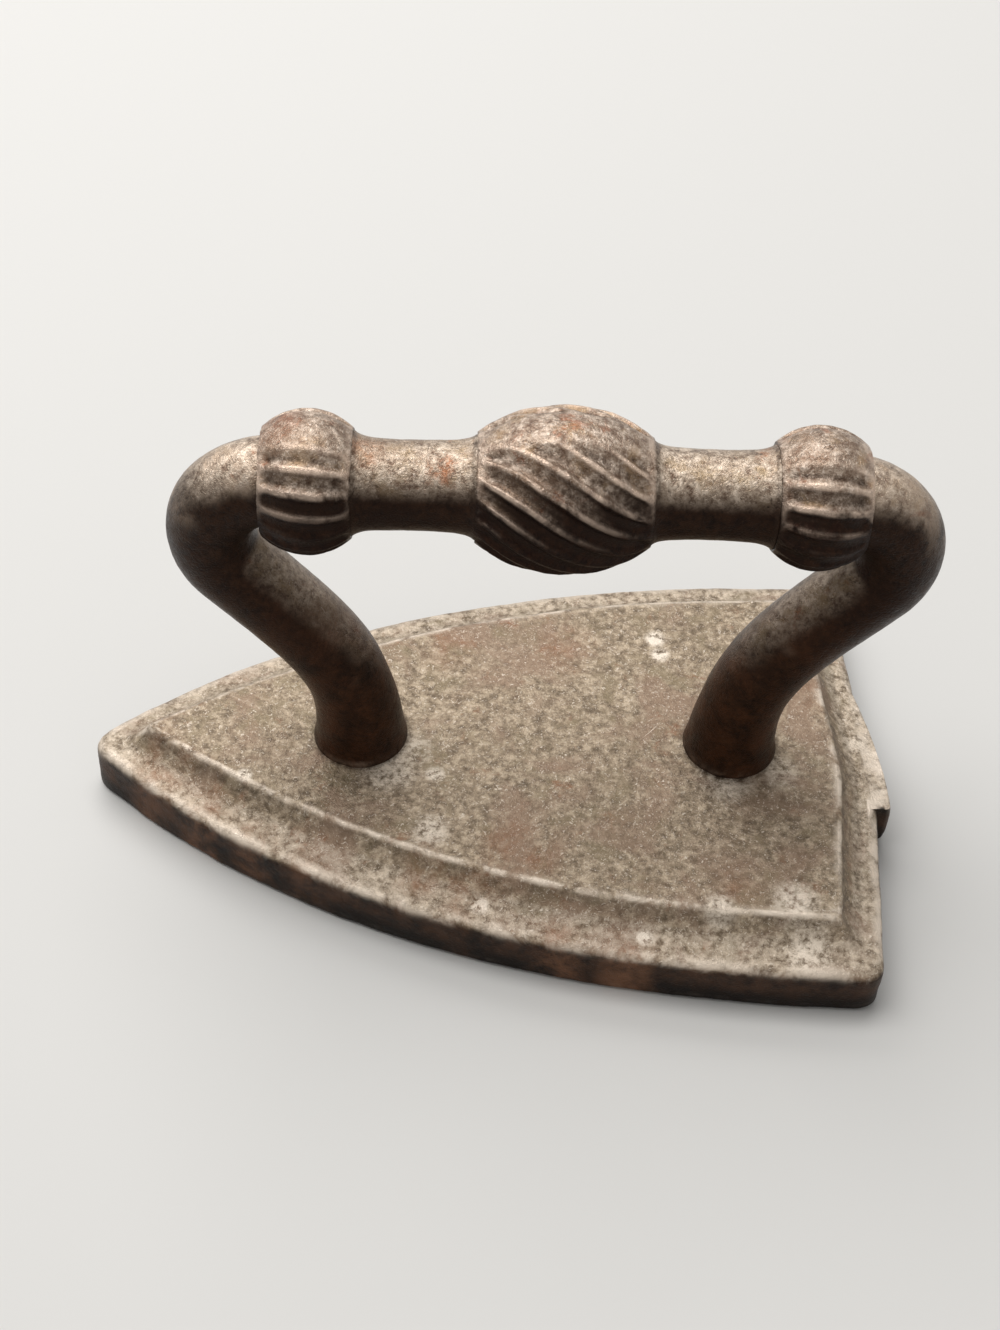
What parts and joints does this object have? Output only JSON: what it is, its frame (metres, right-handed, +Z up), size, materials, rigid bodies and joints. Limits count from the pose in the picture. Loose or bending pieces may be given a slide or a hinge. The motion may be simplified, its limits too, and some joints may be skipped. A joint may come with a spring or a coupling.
{
  "type": "miniature sad iron",
  "caption": "Toy-size iron sad iron: pointed sole plate with a raised panel, bent posts and a round grip bar with a spirally fluted middle knop and straight-fluted end knops.",
  "frame": {"origin": "on the surface the iron stands on, below the middle of its overall box", "axes": "+X from the nose to the heel along the grip bar, +Y across the iron, +Z up from the sole"},
  "size_m": [0.0937, 0.061, 0.0571],
  "materials": {
    "plate_iron": "bare iron with a mottled grey-brown patina, rust patches and rubbed edges",
    "handle_iron": "dark brown handled iron, satin, paler where it is rubbed on top",
    "knop_iron": "dark brown iron with rubbed bright flute crests"
  },
  "bodies": {
    "root": {"sole_plate": "plate_iron", "front_post": "handle_iron", "rear_post": "handle_iron", "grip_bar": "handle_iron", "centre_knop": "knop_iron", "front_knop": "knop_iron", "rear_knop": "knop_iron"}
  },
  "joints": []
}
